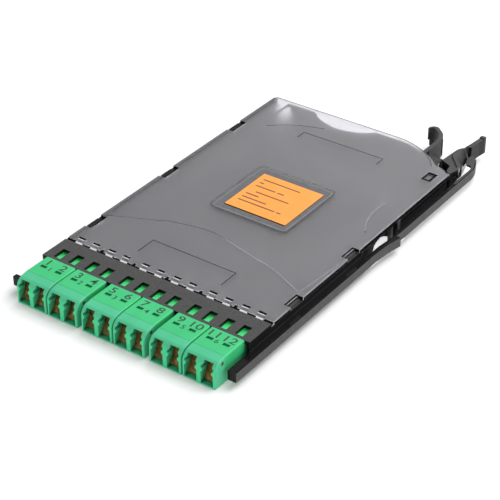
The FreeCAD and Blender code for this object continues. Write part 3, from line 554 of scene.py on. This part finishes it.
# edges that catch the light, painted as highlights: the clips' lips and the flange's curved rim; and dark lines
# painted as shade in the groove along the arm's top and along the rail
bm = bmesh.new()
for y0 in (38.2, 71.6):
    rect(bm, 39.98, 40.34, y0 + 0.1, y0 + 5.9, 9.19, 9.212)
add("clip_lips", bm, highlight_line_mat, "tray")
bm = bmesh.new()
for y0 in (36.95, 77.55, 118.85):
    rect(bm, -41.7, -39.97, y0 + 0.55, y0 + 6.2, 8.6, 9.32)
add("clip_heads", bm, black, "tray")
# the clip post's top painted light grey: painted light on a black part
bm = bmesh.new()
rect(bm, 36.3, 38.3, 130.9, 133.9, 8.89, 8.912)
add("clip_post_top", bm, post_lit_mat, "tray")
bm = bmesh.new()
slab(bm, [(40.6, 98.9), (41.9, 98.9), (41.9, 100.3), (40.6, 100.3)], 1.3, 7.15)
add("recess_rib", bm, rib_mat, "tray")
bm = bmesh.new()
ribbon(bm, [(41.2, 105.3), (41.2, 138.2)], 0.18, 4.39, 4.412)
add("channel_lines", bm, thread_mat, "tray")
bm = bmesh.new()
ribbon(bm, [(44.95, 4.4), (44.95, 79.4)], 0.3, 5.78, 5.812)
add("rail_groove", bm, depth_shade_mat, "tray")
bm = bmesh.new()
ribbon(bm, smooth_path([(32.95, 147.6), (33.25, 146.0), (34.2, 145.1), (35.8, 144.6), (37.2, 143.9), (37.9, 142.4)], 6), 0.15, 6.08, 6.112)
add("flange_rim", bm, pale, "tray")
bm = bmesh.new()
slab(bm, [(31.6, 151.2), (33.4, 151.4), (30.2, 157.7), (26.8, 157.9), (26.8, 156.0), (28.6, 156.0)], 1.2, 1.58)
add("hook_web", bm, black, "tray")
bm = bmesh.new()
ribbon(bm, smooth_path([(44.95, 99.5), (44.95, 120.0), (44.95, 148.8), (44.5, 152.8), (43.25, 156.0)], 8), 0.3, 5.78, 5.812)
add("arm_groove", bm, depth_shade_mat, "arm")

# the lever's thumb rest: a barrel that rolls off from the brow towards the arm
bm = bmesh.new()
rows = []
for y, xl, xr in ((145.4, 41.28, 42.1), (147.0, 39.84, 41.65), (148.6, 38.4, 41.2), (150.0, 37.14, 40.8), (151.2, 36.1, 40.5), (152.6, 35.55, 40.15),
                  (154.2, 35.65, 39.75), (155.6, 35.85, 39.38), (156.8, 36.2, 39.08), (158.0, 36.75, 38.92), (159.0, 37.3, 38.92)):
    pts = [(xl + (xr - xl) * i / 10, 8.86 - 4.46 * (i / 10) ** 1.25) for i in range(11)] + [(xl, 4.4)]
    rows.append([bm.verts.new(at(x, y, z)) for x, z in pts])
for a, b in zip(rows, rows[1:]):
    for i in range(len(a)):
        j = (i + 1) % len(a)
        bm.faces.new((a[i], a[j], b[j], b[i])).smooth = i < len(a) - 2
bm.faces.new(rows[0])
bm.faces.new(rows[-1][::-1])
add("thumb_rest", bm, lever_black, "lever")

# the label's recess: a floor painted darker as painted shade, and two fine outlines, a dark one and a lighter one
# painted as highlight
def round_rect(half, y0, y1, r, steps=6):
    out = []
    for cx, cy, a0 in ((half - r, y1 - r, 0), (-half + r, y1 - r, 90), (-half + r, y0 + r, 180), (half - r, y0 + r, 270)):
        for k in range(steps + 1):
            a = math.radians(a0 + 90 * k / steps)
            out.append((cx + r * math.cos(a), cy + r * math.sin(a)))
    return out


def ring(bm, outer, inner, z0, z1):
    """A flat band between two outlines with the same number of points."""
    rows = [[bm.verts.new(at(x, y, z)) for x, y in pts] for pts, z in ((outer, z0), (outer, z1), (inner, z1), (inner, z0))]
    n = len(outer)
    for a in range(4):
        b = (a + 1) % 4
        for i in range(n):
            j = (i + 1) % n
            bm.faces.new((rows[a][i], rows[a][j], rows[b][j], rows[b][i]))


bm = bmesh.new()
inner = []
for x, y in round_rect(15.95, 72.55, 104.45, 1.95):
    inner.append((min(max(x, -12.15), 13.35), min(max(y, 76.35), 100.55)))
ring(bm, round_rect(15.9, 72.6, 104.4, 1.9), inner, 9.14, 9.156)
add("cover_recess_floor", bm, recess_shade_mat, "lid")
bm = bmesh.new()
ring(bm, round_rect(16.3, 72.2, 104.8, 2.3), round_rect(16.02, 72.48, 104.52, 2.02), TOP - 0.02, TOP + 0.012)
add("cover_recess_edge", bm, shade_mat, "lid")
bm = bmesh.new()
ring(bm, round_rect(15.3, 73.2, 103.8, 1.3), round_rect(15.0, 73.5, 103.5, 1.0), 9.14, 9.165)
add("cover_recess_line", bm, fine_highlight_mat, "lid")
# a dark strip painted as shade along the label's front and right edges
bm = bmesh.new()
rect(bm, -12.1, 13.46, 75.86, 76.38, 9.14, 9.166)
rect(bm, 13.31, 13.46, 76.38, 100.5, 9.14, 9.166)
add("label_edge_shade", bm, depth_shade_mat, "lid")

# the narrow rim along the cover's left edge, between the clips, painted darker as painted shade, and the dark line
# inside it
bm = bmesh.new()
edge = bmesh.new()
for y0, y1 in ((28.8, 36.85), (45.45, 77.45), (86.05, 118.75), (127.35, 149.7)):
    rect(bm, -42.11, -40.98, y0, y1, 9.05, TOP + 0.006)
    rect(edge, -40.98, -40.76, y0, y1, TOP - 0.02, TOP + 0.008)
add("cover_left_rim", bm, recess_shade_mat, "lid")
add("cover_left_line", edge, shade_mat, "lid")

# ------------------------------------------------------------------ stage, light, camera
floor_me = bpy.data.meshes.new("floor")
floor_me.from_pydata([(-6, -6, 0), (6, -6, 0), (6, 6, 0), (-6, 6, 0)], [], [(0, 1, 2, 3)])
floor = bpy.data.objects.new("floor", floor_me)
floor.location.z = -0.0002
scene.collection.objects.link(floor)
fl = Mat("floor_white")
fl.link(fl.ramp(fl.noise(3.0), [(0.3, (0.90, 0.90, 0.90)), (0.7, (0.92, 0.92, 0.92))]), fl.b.inputs["Base Color"])
fl.set(Roughness=0.7, Specular_IOR_Level=0.2)
floor_me.materials.append(fl.m)

# emissive patches set into the floor under the catch and the lever: a painted glow that lights the floor in the shade
# there
glow_me = bpy.data.meshes.new("floor_glow")
spots = [[at(x, y, -0.1) for x, y in pts] for pts in (((34.0, 84.0), (43.4, 84.0), (43.4, 106.0), (34.0, 106.0)),
                                                      ((36.6, 150.5), (41.6, 150.5), (40.2, 163.0), (36.6, 163.0)))]
glow_me.from_pydata([tuple(v) for spot in spots for v in spot], [], [(0, 1, 2, 3), (4, 5, 6, 7)])
glow = bpy.data.objects.new("floor_glow", glow_me)
scene.collection.objects.link(glow)
gl = Mat("floor_lit")
gl.link(gl.ramp(gl.noise(3.0), [(0.3, (0.90, 0.90, 0.90)), (0.7, (0.92, 0.92, 0.92))]), gl.b.inputs["Base Color"])
gl.set(Roughness=0.7, Specular_IOR_Level=0.2, Emission_Color=(1.0, 1.0, 1.0, 1.0), Emission_Strength=0.72)
glow_me.materials.append(gl.m)

world = bpy.data.worlds.new("studio")
scene.world = world
world.use_nodes = True
world.node_tree.nodes["Background"].inputs["Color"].default_value = (1.0, 1.0, 1.0, 1.0)
world.node_tree.nodes["Background"].inputs["Strength"].default_value = 0.70


def lamp(name, loc, target, sx, sy, power, color=(1, 1, 1)):
    data = bpy.data.lights.new(name, "AREA")
    data.shape = "RECTANGLE"
    data.size, data.size_y = sx, sy
    data.energy = power
    data.color = color
    ob = bpy.data.objects.new(name, data)
    ob.location = loc
    ob.rotation_euler = (Vector(target) - Vector(loc)).to_track_quat("-Z", "Y").to_euler()
    scene.collection.objects.link(ob)
    return ob


lamp("key", (0.20, 0.45, 0.75), (0.0, -0.02, 0.0), 0.9, 0.9, 8.0)
lamp("front", (-0.25, -0.85, 0.12), (0.0, -0.06, 0.0), 0.8, 0.2, 0.2)
lamp("right", (0.88, -0.06, 0.34), (0.0, -0.02, 0.0), 0.7, 0.5, 2.4)

cam = bpy.data.cameras.new("camera")
cam.sensor_width = 36.0
cam.sensor_fit = "HORIZONTAL"
cam.lens = 1591.675 / 500.0 * 36.0
cam.clip_start = 0.01
cam.clip_end = 20.0
eye = bpy.data.objects.new("camera", cam)
scene.collection.objects.link(eye)
az, el, roll = 0.6213463, 0.5850695, -0.0038095
back = Vector((math.sin(az) * math.cos(el), -math.cos(az) * math.cos(el), math.sin(el)))
right = Vector((math.cos(az), math.sin(az), 0.0))
up = back.cross(right)
right, up = right * math.cos(roll) + up * math.sin(roll), up * math.cos(roll) - right * math.sin(roll)
place = Matrix((right, up, back)).transposed().to_4x4()
place.translation = at(4.247, 68.568, 0.0) + back * 0.545573
eye.matrix_world = place
scene.camera = eye
scene.view_settings.view_transform = "Standard"
scene.view_settings.look = "None"
